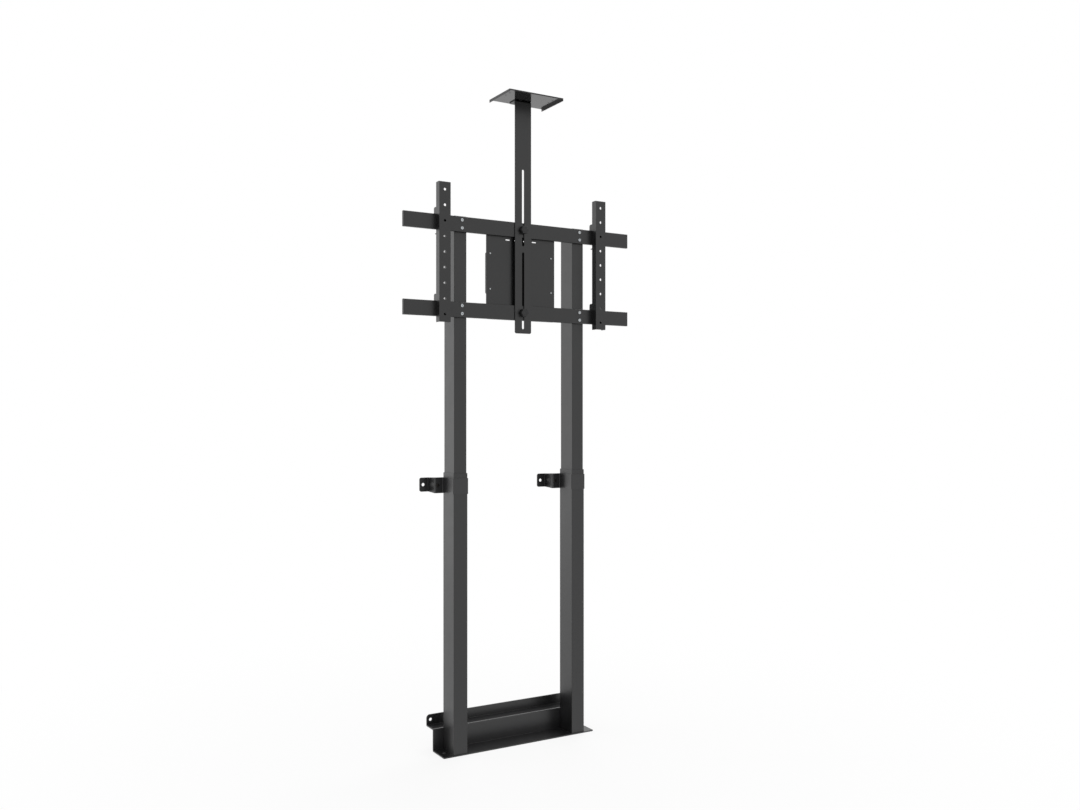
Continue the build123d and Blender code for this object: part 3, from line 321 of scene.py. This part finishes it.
def white_print():
    """White pad-printed ink of the marks on buttons and rocker: matt, a little worn."""
    colour, roughness = linear("#d9dadb"), 0.55
    material, tree, shader, place = blank("white_pad_print", colour, roughness)
    uneven(tree, shader, place, colour, roughness, cloud_mm=1.5, tint=0.06, spread=0.05)
    return material


OWN_FINISHES = {
    "guide_collar_left": satin_abs,
    "guide_collar_right": satin_abs,
    "base_bracket": sheet_coat,
    "clamp_band_left": sheet_coat,
    "clamp_band_right": sheet_coat,
}
FINISHES = {
    "column_steel": column_coat,
    "bracket_steel": bracket_coat,
    "gloss_black_steel": tray_lacquer,
    "zinc_steel": zinc_plate,
    "bright_steel": rolled_steel,
    "black_screw": black_oxide,
    "cast_housing": die_cast,
    "contact_brass": contact_brass,
    "black_plastic": black_abs,
    "gloss_black_plastic": polished_abs,
    "glide_plastic": acetal,
    "button_grey": grey_abs,
    "board_green": solder_mask,
}
made_finishes = {}


def once(make):
    """The material that a function makes, made at the first call and kept."""
    if make not in made_finishes:
        made_finishes[make] = make()
    return made_finishes[make]


def finish(slot, node=""):
    """The material of a node with a finish of its own, or else of its slot in the record."""
    return once(OWN_FINISHES.get(node, FINISHES[slot]))


# ---------------------------------------------------------------- surfaces


def as_piece(name, points, faces, material):
    """Puts points and faces into a new object at the origin, smooth but for its sharp edges."""
    mesh = bpy.data.meshes.new(name)
    mesh.from_pydata(points, [], faces)
    mesh.shade_smooth()
    mesh.set_sharp_from_angle(angle=CREASE)
    mesh.materials.append(material)
    piece = bpy.data.objects.new(name, mesh)
    bpy.context.scene.collection.objects.link(piece)
    return piece


def round_skin(name, radius, height, origin, axis, across, material, ring=False):
    """A closed skin round an axis, from arrays of radius and height over (row, angle).

    A point is origin + r cos(angle) across + r sin(angle) (axis x across) + h axis. The first
    and the last row are closed to a pole on the axis, or to each other in a ring.
    """
    radius, height = np.broadcast_arrays(radius, height)
    rows, columns = radius.shape
    angle = around(columns)
    u, w = np.array(across, float), np.array(axis, float)
    v = np.cross(w, u)
    way = np.cos(angle)[:, None] * u + np.sin(angle)[:, None] * v
    points = np.array(origin, float) + radius[..., None] * way + height[..., None] * w
    index = np.arange(rows * columns).reshape(rows, columns)
    after = np.roll(index, -1, axis=1)
    sides = np.stack([index, after, np.roll(after, -1, axis=0), np.roll(index, -1, axis=0)],
                     axis=-1)
    if ring:
        return as_piece(name, points.reshape(-1, 3), sides.reshape(-1, 4).tolist(), material)
    sides = sides[:-1].reshape(-1, 4)
    poles = [np.array(origin, float) + w * height[row].mean() for row in (0, -1)]
    points = np.vstack([points.reshape(-1, 3), poles])
    pole = np.full(columns, rows * columns)
    low_end = np.stack([pole, after[0], index[0]], axis=-1)
    high_end = np.stack([pole + 1, index[-1], after[-1]], axis=-1)
    faces = [*sides.tolist(), *low_end.tolist(), *high_end.tolist()]
    return as_piece(name, points, faces, material)


def around(columns):
    """The angles of so many equal steps round a full turn."""
    return np.arange(columns) * TURN / columns


def column(*values):
    """Values one below the other, for arrays over (row, angle)."""
    return np.array(values)[:, None]


def stacked(parts, columns):
    """Stacks parts, each a radius and a height that may leave out the angle, into two arrays."""
    whole = [np.broadcast_arrays(radius, height, np.empty((1, columns)))
             for radius, height in parts]
    return np.vstack([part[0] for part in whole]), np.vstack([part[1] for part in whole])


def thread(height, angle, lead, starts, depth):
    """Depth of a right-hand thread at heights and angles.

    The phase is height / pitch - starts * angle / turn, with pitch = lead / starts. The flank is
    a triangle wave of the phase, steepened and clipped, so crest and root are flat.
    """
    steep, cut = 2.4, 0.7
    phase = (height * starts / lead - starts * angle / TURN) % 1
    triangle = 1 - np.abs(2 * phase - 1)
    return depth * (1 - np.clip(steep * triangle - cut, 0, 1))


def spindle_skin(side):
    """Lifting spindle: a bar with a rolled four-start thread, a chamfered foot and a journal.

    Over (height, angle) the radius is the bar's less the thread's depth, and at the foot at most
    0.82 of the bar's plus the height over the foot.
    """
    starts, columns, rows_per_pitch = 4, 28, 9
    foot, shoulder, journal = 0.82, 0.9, 2 / 3  # shares of the bar's radius
    gap, chamfer = 0.0003, 0.0005
    low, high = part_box(f"lift_spindle_{side}")
    middle = (low + high) / 2
    bar = (high.x - low.x) / 2
    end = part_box("spindle_bearings")[0].z - gap
    lead = sizes().spindle_lead
    angle = around(columns)
    height = np.arange(low.z, end, lead / starts / rows_per_pitch)[:, None]
    radius = bar - thread(height, angle, lead, starts, sizes().thread_depth)
    radius = np.minimum(radius, bar * foot + (height - low.z))
    neck = bar * journal
    radius, height = stacked([
        (radius, height),
        (column(bar * shoulder, neck, neck, neck - chamfer),
         column(end, end, high.z - chamfer, high.z)),
    ], columns)
    return round_skin(f"threaded_spindle_{side}", radius, height, (middle.x, middle.y, 0),
                      (0, 0, 1), (1, 0, 0), finish("bright_steel"))


def knob_skin(end):
    """Six-lobed clamp knob with a crowned, dished face, and its stud.

    The grip's radius is the CAD knob's less the lobe depth times ((1 + cos 6 angle) / 2) ^ 1.5,
    drawn in at both rims by a quarter circle. Inward over the face the lobes fade to a circle,
    and the face falls to a dish whose depth goes as (1 + cos) / 2 of the way out.
    """
    lobe_count, lobe_power = 6, 1.5
    columns, rim_rows, face_rows = 96, 6, 16
    stud, stud_chamfer, collar, collar_tall = 0.004, 0.0006, 0.011, 0.002
    thick, rim, dish_depth = 0.013, 0.0018, 0.0009
    fade_from, circle, dish_out, innermost = 0.55, 0.93, 0.6, 0.06  # shares of the grip
    low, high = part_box(f"shelf_knob_{end}")
    level = (low.z + high.z) / 2
    reach = high.y - low.y
    back = reach - thick
    grip = (high.z - low.z) / 2
    wave = (1 + np.cos(lobe_count * around(columns))) / 2
    lobes = 1 - sizes().lobe_depth / grip * wave ** lobe_power
    bend = np.linspace(0, math.pi / 2, rim_rows)[:, None]
    inward = np.linspace(1, innermost, face_rows)[1:, None]
    blend = np.clip((inward - fade_from) / (1 - fade_from), 0, 1)
    face = (grip * (lobes * blend + circle * (1 - blend)) - rim) * inward
    dish = dish_depth * (1 + np.cos(math.pi * np.clip(inward / dish_out, 0, 1))) / 2
    radius, height = stacked([
        (column(stud - stud_chamfer, stud, stud), column(0, stud_chamfer, back - collar_tall)),
        (column(collar, collar), column(back - collar_tall, back)),
        (grip * lobes - rim / 2 * (1 - np.sin(bend)), back + rim / 2 * (1 - np.cos(bend))),
        (grip * lobes - rim * (1 - np.cos(bend)), reach - rim * (1 - np.sin(bend))),
        (face, reach - dish),
    ], columns)
    return round_skin(f"star_knob_{end}", radius, height, (0, high.y, level),
                      (0, -1, 0), (0, 0, 1), finish("black_plastic"))


def thumb_screw_skin(side):
    """Thumb screw: a grip with straight flutes and softened rims, and a threaded shank above it.

    The grip's radius is the CAD screw's less the flutes' depth times 1 - |sin (flutes x angle
    / 2)|, without flutes at the outermost rim rows; the shank's is 3 mm less a one-start thread.
    """
    shank, pitch, thread_depth, rows_per_pitch = 0.003, 0.001, 0.0004, 7
    tip_chamfer, tip_cut = 0.0006, 0.0009
    tall, rim, bevel, recess, recess_share = 0.012, 0.0014, 0.0005, 0.0004, 0.5
    low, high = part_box(f"rail_lock_{side}")
    middle = (low + high) / 2
    grip = (high.x - low.x) / 2
    count = sizes().flutes
    columns = 6 * count
    angle = around(columns)
    flutes = sizes().flute_depth * (1 - np.abs(np.sin(count * angle / 2)))
    drawn_in = column(rim, bevel, 0, 0, bevel, rim)
    rows = low.z + column(0, bevel, rim, tall - rim, tall - bevel, tall)
    screw = np.arange(low.z + tall, high.z - tip_chamfer, pitch / rows_per_pitch)[:, None]
    radius, height = stacked([
        (column(grip * recess_share), column(low.z + recess)),
        (grip - drawn_in - flutes * (drawn_in < rim), rows),
        (shank - thread(screw, angle, pitch, 1, thread_depth), screw),
        (column(shank - tip_cut), column(high.z)),
    ], columns)
    return round_skin(f"thumb_screw_{side}", radius, height, (middle.x, middle.y, 0),
                      (0, 0, 1), (1, 0, 0), finish("black_plastic"))


def raised_mark(name, outline, middle, normal, across, proud, material):
    """A low raised mark, half sunk into its face.

    Its radius is the outline over the angle, full up to the rim and drawn in on top.
    """
    rim, top = 0.6, 0.93
    height = column(-proud, proud * rim, proud)
    return round_skin(name, column(1, 1, top) * outline, height, middle, normal, across, material)


def triangle_outline(size):
    """Triangle with soft corners.

    Half the size over the cosine of the angle from the nearest side's middle, up to 0.86 of it.
    """
    corner, columns = 0.86, 60
    from_side = (around(columns) + math.pi / 3) % (TURN / 3) - math.pi / 3
    return np.minimum(size / 2 / np.cos(from_side), size * corner)


def bar_outline(length, width):
    """Bar along the first direction: the nearer of its sides and ends, over sine and cosine."""
    columns = 72
    least = 1e-6  # keeps both divisions finite
    angle = around(columns)
    return np.minimum(length / 2 / np.maximum(np.abs(np.cos(angle)), least),
                      width / 2 / np.maximum(np.abs(np.sin(angle)), least))


def ring_mark(name, middle, normal, across, radius, width, proud, material):
    """A low ring, square in section, half sunk into its face."""
    columns = 48
    inner, outer = radius - width / 2, radius + width / 2
    radius, height = stacked([
        (column(inner, inner, outer, outer), column(proud, -proud, -proud, proud))], columns)
    return round_skin(name, radius, height, middle, normal, across, material, ring=True)


# ---------------------------------------------------------------- floor, light and camera


def floor_paper():
    """Matt pale paper, seen and reflected as the backdrop's white.

    The share of white rises outward, so that the object keeps its shadow near its foot.
    """
    near, far, least = 0.3, 2.2, 0.84
    material, tree, shader, place = blank(
        "pale_studio_floor", linear("#fafafa"), 0.9, **{"Specular IOR Level": 0.1})
    path = add(tree, "ShaderNodeLightPath")
    seen = larger(tree, path.outputs["Is Camera Ray"], path.outputs["Is Glossy Ray"])
    paper = add(tree, "ShaderNodeEmission", {"Color": WHITE, "Strength": 1.0})
    distance = add(tree, "ShaderNodeVectorMath", {0: place}, operation="LENGTH")
    white = add(tree, "ShaderNodeMapRange", {
        "Value": distance.outputs["Value"], "From Min": near, "From Max": far,
        "To Min": least, "To Max": 1.0}, interpolation_type="SMOOTHSTEP")
    share = add(tree, "ShaderNodeMath", {
        0: seen, 1: white.outputs["Result"]}, operation="MULTIPLY")
    mixed = add(tree, "ShaderNodeMixShader", {
        0: share.outputs[0], 1: shader.outputs["BSDF"], 2: paper.outputs[0]})
    output = next(node for node in tree.nodes if node.type == "OUTPUT_MATERIAL")
    tree.links.new(mixed.outputs[0], output.inputs["Surface"])
    return material


def pale_floor():
    """A round pale floor, 24 m across: rings of radius (cos angle, sin angle) round a middle."""
    columns, drop = 96, 0.0002
    radii = np.array([0.5, 1.5, 4.0, 12.0])
    angle = around(columns)
    circle = np.stack([np.cos(angle), np.sin(angle), 0 * angle], axis=-1)
    points = (radii[:, None, None] * circle).reshape(-1, 3)
    points = np.vstack([points, [[0, 0, 0]]]) + (0, 0, -drop)
    index = np.arange(len(radii) * columns).reshape(-1, columns)
    after = np.roll(index, -1, axis=1)
    rings = np.stack([index[:-1], index[1:], after[1:], after[:-1]], axis=-1).reshape(-1, 4)
    middle = np.stack([np.full(columns, index.size), index[0], after[0]], axis=-1)
    floor = as_piece("studio_floor", points, [*rings.tolist(), *middle.tolist()], floor_paper())


def studio_world():
    """White all round as it is seen, reflected and seen through.

    Its light on matt surfaces is dimmer, and dimmest from the right.
    """
    brightest, dim, bright = (-0.8, -0.2, 0.5), 0.5, 0.8
    world = bpy.data.worlds.new("studio")
    bpy.context.scene.world = world
    world.use_nodes = True
    tree = world.node_tree
    tree.nodes.clear()
    way = add(tree, "ShaderNodeTexCoord").outputs["Generated"]
    toward = add(tree, "ShaderNodeVectorMath", {
        0: way, 1: Vector(brightest).normalized()}, operation="DOT_PRODUCT")
    level = add(tree, "ShaderNodeMapRange", {
        "Value": toward.outputs["Value"], "From Min": -1.0, "From Max": 1.0,
        "To Min": dim, "To Max": bright})
    path = add(tree, "ShaderNodeLightPath")
    seen = larger(tree, path.outputs["Is Camera Ray"], path.outputs["Is Glossy Ray"])
    through = larger(tree, seen, path.outputs["Is Transmission Ray"])
    white = add(tree, "ShaderNodeMix", {
        "Factor": through, "A": level.outputs["Result"], "B": 1.0}, data_type="FLOAT")
    light = add(tree, "ShaderNodeBackground", {"Color": WHITE, "Strength": white.outputs[0]})
    add(tree, "ShaderNodeOutputWorld", {"Surface": light.outputs["Background"]})


def lamp(name, place, aim, size, power):
    """A square soft lamp aimed at a point."""
    data = bpy.data.lights.new(name, "AREA")
    data.size = size
    data.energy = power
    made = bpy.data.objects.new(name, data)
    made.visible_camera = False
    made.location = place
    made.rotation_euler = (Vector(aim) - Vector(place)).to_track_quat("-Z", "Y").to_euler()
    bpy.context.scene.collection.objects.link(made)


def camera(focal_length):
    """The photograph's camera: level, 1.12 m high and 3.49 m away, at the left of the front.

    The horizon lies 9 pixels below the middle of the photograph, which is 1080 pixels wide.
    """
    place, heading, horizon = (-1.7029, -3.0438, 1.1160), math.radians(-30.6), 9 / 1080
    data = bpy.data.cameras.new("photo_camera")
    data.sensor_width = 36.0
    data.lens = focal_length
    data.shift_y = horizon
    data.clip_end = 100.0
    made = bpy.data.objects.new("photo_camera", data)
    made.location = place
    made.rotation_euler = (math.pi / 2, 0, heading)
    bpy.context.scene.collection.objects.link(made)
    bpy.context.scene.camera = made


# ---------------------------------------------------------------- the user's settings


class LiftSizes(bpy.types.PropertyGroup):
    """Sizes and colours that a user would change."""
    column_colour: FloatVectorProperty(
        name="Column colour", description="Powder coat of the columns", subtype="COLOR",
        default=linear("#171718"), min=0, max=1)
    base_colour: FloatVectorProperty(
        name="Base colour", description="Powder coat of the folded base and the clamp bands",
        subtype="COLOR", default=linear("#1c1c1d"), min=0, max=1)
    bracket_colour: FloatVectorProperty(
        name="Bracket colour", description="Powder coat of brackets, bars and rails",
        subtype="COLOR", default=linear("#101011"), min=0, max=1)
    spindle_lead: FloatProperty(
        name="Spindle lead", description="Travel of the lift for one turn of the spindles",
        unit="LENGTH", default=0.02, min=0.004, max=0.04)
    thread_depth: FloatProperty(
        name="Thread depth", description="Depth of the spindles' rolled thread",
        unit="LENGTH", default=0.0011, min=0, max=0.002)
    lobe_depth: FloatProperty(
        name="Lobe depth", description="How deep the knobs' finger hollows are",
        unit="LENGTH", default=0.002, min=0, max=0.005)
    flutes: IntProperty(
        name="Flutes", description="Number of flutes round a thumb screw",
        default=32, min=8, max=60)
    flute_depth: FloatProperty(
        name="Flute depth", description="Depth of the thumb screws' flutes",
        unit="LENGTH", default=0.0006, min=0, max=0.0015)


class LiftStage(bpy.types.PropertyGroup):
    """Light and camera."""
    key_power: FloatProperty(
        name="Softbox", description="Power of the large soft lamp behind the object, at the left",
        unit="POWER", default=18.0, min=0)
    fill_power: FloatProperty(
        name="Top lamp", description="Power of the soft lamp high up behind, at the right",
        unit="POWER", default=60.0, min=0)
    focal_length: FloatProperty(
        name="Focal length", description="The camera's focal length on a 36 mm sensor",
        unit="CAMERA", subtype="DISTANCE_CAMERA", default=34.05, min=10, max=200)


# ---------------------------------------------------------------- operators


class LIFT_OT_finishes(bpy.types.Operator):
    """Gives each CAD node the finish of its material slot"""
    bl_idname = "lift.finishes"
    bl_label = "Finishes"

    def execute(self, context):
        slots = {row["node"]: row["material_slot"] for row in frame["record"]["subparts"]}
        for name, node in frame["nodes"].items():
            for place in node.material_slots:
                place.material = finish(slots[name], name)
        return {"FINISHED"}


class LIFT_OT_spindles(bpy.types.Operator):
    """Makes the two threaded lifting spindles"""
    bl_idname = "lift.spindles"
    bl_label = "Threaded spindles"

    def execute(self, context):
        for side in SIDES:
            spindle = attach(spindle_skin(side), f"spindle_{side}")
            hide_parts(f"lift_spindle_{side}")
        return {"FINISHED"}


class LIFT_OT_knobs(bpy.types.Operator):
    """Makes the two clamp knobs of the camera shelf"""
    bl_idname = "lift.knobs"
    bl_label = "Clamp knobs"

    def execute(self, context):
        for end in ENDS:
            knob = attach(knob_skin(end), f"shelf_knob_{end}")
            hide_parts(f"shelf_knob_{end}")
        return {"FINISHED"}


class LIFT_OT_thumb_screws(bpy.types.Operator):
    """Makes the two thumb screws that lock the hooked rails"""
    bl_idname = "lift.thumb_screws"
    bl_label = "Thumb screws"

    def execute(self, context):
        for side in SIDES:
            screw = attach(thumb_screw_skin(side), f"rail_lock_{side}")
            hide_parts(f"rail_lock_{side}")
        return {"FINISHED"}


class LIFT_OT_button_marks(bpy.types.Operator):
    """Makes the arrow marks on the up and down buttons"""
    bl_idname = "lift.button_marks"
    bl_label = "Button marks"

    def execute(self, context):
        outline, proud = triangle_outline(0.0032), 0.0003
        for name, flat_side in (("up", (0, -1, 0)), ("down", (0, 1, 0))):
            low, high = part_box(f"{name}_button")
            middle = ((low.x + high.x) / 2, (low.y + high.y) / 2, low.z)
            mark = raised_mark(f"{name}_arrow", outline, middle, (0, 0, -1), flat_side, proud,
                               once(white_print))
            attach(mark, f"{name}_button")
        return {"FINISHED"}


class LIFT_OT_rocker_marks(bpy.types.Operator):
    """Makes the on and off marks on the two flats of the power rocker"""
    bl_idname = "lift.rocker_marks"
    bl_label = "Rocker marks"

    def execute(self, context):
        ink, proud = once(white_print), 0.0002
        low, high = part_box("power_rocker")
        depth = (low.y + high.y) / 2
        # The rocker's underside in x and z: a flat that rises to a dip, and one that falls from it.
        left, dip, right = (low.x, low.z), (-0.03957, 1.52084), (high.x, 1.51882)
        for name, (x0, z0), (x1, z1) in (("on", left, dip), ("off", dip, right)):
            along = np.array([x1 - x0, 0, z1 - z0]) / math.hypot(x1 - x0, z1 - z0)
            middle = ((x0 + x1) / 2, depth, (z0 + z1) / 2)
            normal = np.cross(along, (0, -1, 0))
            if name == "on":
                outline = bar_outline(length=0.0044, width=0.0009)
                mark = raised_mark("on_mark", outline, middle, normal, along, proud, ink)
            else:
                mark = ring_mark("off_mark", middle, normal, along, radius=0.002, width=0.0008,
                                 proud=proud, material=ink)
            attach(mark, "power_rocker")
        return {"FINISHED"}


class LIFT_OT_stage(bpy.types.Operator):
    """Makes the floor, the light and the camera"""
    bl_idname = "lift.stage"
    bl_label = "Floor, light and camera"

    def execute(self, context):
        stage = context.scene.lift_stage
        pale_floor()
        studio_world()
        lamp("softbox", place=(-3.1, 3.0, 1.2), aim=(0, 0, 0.9), size=3.2, power=stage.key_power)
        lamp("top_lamp", place=(1.9, 1.5, 4.0), aim=(0, 0, 0.5), size=2.6, power=stage.fill_power)
        camera(stage.focal_length)
        context.scene.view_settings.view_transform = "Standard"
        return {"FINISHED"}


PIECES = (LIFT_OT_finishes, LIFT_OT_spindles, LIFT_OT_knobs, LIFT_OT_thumb_screws,
          LIFT_OT_button_marks, LIFT_OT_rocker_marks, LIFT_OT_stage)


class LIFT_PT_sidebar(bpy.types.Panel):
    """Lists the lift's sizes, colours and pieces"""
    bl_idname = "LIFT_PT_sidebar"
    bl_label = "TV lift"
    bl_space_type = "VIEW_3D"
    bl_region_type = "UI"
    bl_category = "Lift"

    def draw(self, context):
        for group in (context.scene.lift_sizes, context.scene.lift_stage):
            for name in group.__annotations__:
                self.layout.prop(group, name)
        for piece in PIECES:
            self.layout.operator(piece.bl_idname)


CLASSES = (LiftSizes, LiftStage, *PIECES, LIFT_PT_sidebar)


def register():
    for made in CLASSES:
        bpy.utils.register_class(made)
    bpy.types.Scene.lift_sizes = PointerProperty(type=LiftSizes)
    bpy.types.Scene.lift_stage = PointerProperty(type=LiftStage)


def unregister():
    del bpy.types.Scene.lift_stage
    del bpy.types.Scene.lift_sizes
    for made in reversed(CLASSES):
        bpy.utils.unregister_class(made)


def main():
    """Registers the add-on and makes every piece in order."""
    register()
    for piece in PIECES:
        group, name = piece.bl_idname.split(".")
        getattr(getattr(bpy.ops, group), name)()


if __name__ == "__main__":
    main()
